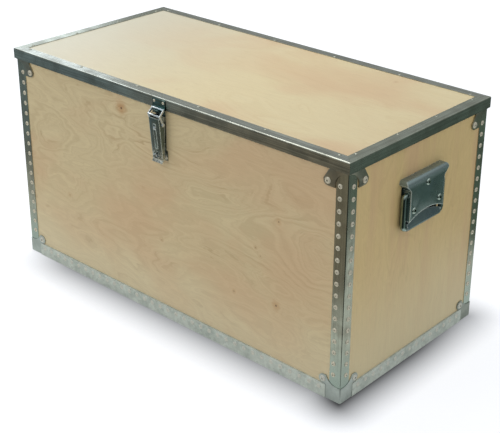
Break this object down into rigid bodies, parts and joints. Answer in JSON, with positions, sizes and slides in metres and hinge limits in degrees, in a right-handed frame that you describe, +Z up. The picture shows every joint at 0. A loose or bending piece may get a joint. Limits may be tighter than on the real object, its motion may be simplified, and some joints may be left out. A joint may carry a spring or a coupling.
{
  "type": "chuck box",
  "caption": "Plywood travelling kitchen chest with riveted steel angle edges, a hinged flat lid, a front toggle latch and a drop handle on each end.",
  "frame": {"origin": "on the floor, under the middle of the whole closed chest with its latch, hinges and handles", "axes": "+X to the right seen from the front, -Y to the front where the latch is, +Z up"},
  "size_m": [0.9368, 0.468, 0.484],
  "materials": {
    "wall_plywood": "bare birch plywood, rotary cut, lightly aged",
    "lid_plywood": "bare birch plywood, pale and smooth",
    "angle_steel": "zinc plated sheet, dulled",
    "bottom_steel": "galvanised, mottled",
    "cap_steel": "zinc plated, satin",
    "brace_steel": "zinc plated, dulled",
    "edging_steel": "zinc plated, satin",
    "rivet_steel": "plain rivets, satin",
    "hinge_steel": "zinc plated, satin",
    "bail_wire": "bright plated",
    "latch_steel": "bright zinc plated",
    "handle_steel": "dark passivated zinc, semi-gloss"
  },
  "bodies": {
    "box": {"front_panel": "wall_plywood", "back_panel": "wall_plywood", "left_end_panel": "wall_plywood", "right_end_panel": "wall_plywood", "bottom_panel": "wall_plywood", "corner_angle_front_left": "angle_steel", "corner_angle_front_right": "angle_steel", "corner_angle_back_left": "angle_steel", "corner_angle_back_right": "angle_steel", "bottom_angle_front": "bottom_steel", "bottom_angle_back": "bottom_steel", "bottom_angle_left": "bottom_steel", "bottom_angle_right": "bottom_steel", "corner_cap_front_left": "cap_steel", "corner_cap_front_right": "cap_steel", "corner_cap_back_left": "cap_steel", "corner_cap_back_right": "cap_steel", "corner_brace_front_left": "brace_steel", "corner_brace_front_right": "brace_steel", "corner_brace_back_left": "brace_steel", "corner_brace_back_right": "brace_steel", "corner_rivets_front": "rivet_steel", "corner_rivets_back": "rivet_steel", "corner_rivets_left": "rivet_steel", "corner_rivets_right": "rivet_steel", "bottom_angle_rivets": "rivet_steel", "corner_cap_rivets": "rivet_steel", "corner_brace_rivets": "rivet_steel", "hinge_body_leaf_left": "hinge_steel", "hinge_body_leaf_right": "hinge_steel", "hinge_pin_left": "hinge_steel", "hinge_pin_right": "hinge_steel", "hinge_body_rivets": "rivet_steel", "latch_pivot_pin": "latch_steel", "latch_base": "latch_steel", "latch_base_rivets": "rivet_steel", "handle_housing_left": "handle_steel", "handle_housing_right": "handle_steel", "handle_rivets_left": "rivet_steel", "handle_rivets_right": "rivet_steel"},
    "lid": {"lid_panel": "lid_plywood", "lid_edging_front": "edging_steel", "lid_edging_back": "edging_steel", "lid_edging_left": "edging_steel", "lid_edging_right": "edging_steel", "lid_rivets": "rivet_steel", "hinge_lid_leaf_left": "hinge_steel", "hinge_lid_leaf_right": "hinge_steel", "hinge_lid_rivets": "rivet_steel", "latch_keeper": "latch_steel", "latch_keeper_rivets": "rivet_steel"},
    "latch_lever": {"latch_bail_pin": "latch_steel", "latch_lever": "latch_steel"},
    "latch_bail": {"latch_bail": "bail_wire"},
    "handle_right": {"handle_rod_right": "handle_steel", "handle_grip_right": "handle_steel"},
    "handle_left": {"handle_rod_left": "handle_steel", "handle_grip_left": "handle_steel"}
  },
  "joints": [
    {"name": "lid_hinge", "type": "hinge", "parent": "box", "child": "lid", "pos_m": [0, 0.22507, 0.45654], "axis": [-1, 0, 0], "range_deg": [0, 100]},
    {"name": "latch_lever", "type": "hinge", "parent": "box", "child": "latch_lever", "pos_m": [-0.005, -0.22499, 0.446], "axis": [-1, 0, 0], "range_deg": [0, 130]},
    {"name": "latch_bail", "type": "hinge", "parent": "latch_lever", "child": "latch_bail", "pos_m": [-0.005, -0.22299, 0.433], "axis": [-1, 0, 0], "range_deg": [-110, 0]},
    {"name": "handle_right", "type": "hinge", "parent": "box", "child": "handle_right", "pos_m": [0.4565, 0.00251, 0.3695], "axis": [0, -1, 0], "range_deg": [0, 90]},
    {"name": "handle_left", "type": "hinge", "parent": "box", "child": "handle_left", "pos_m": [-0.4565, 0.00251, 0.3695], "axis": [0, 1, 0], "range_deg": [0, 90]}
  ],
  "couplings": [
    {"joint": "latch_bail", "follows": "latch_lever", "ratio": -0.84}
  ]
}
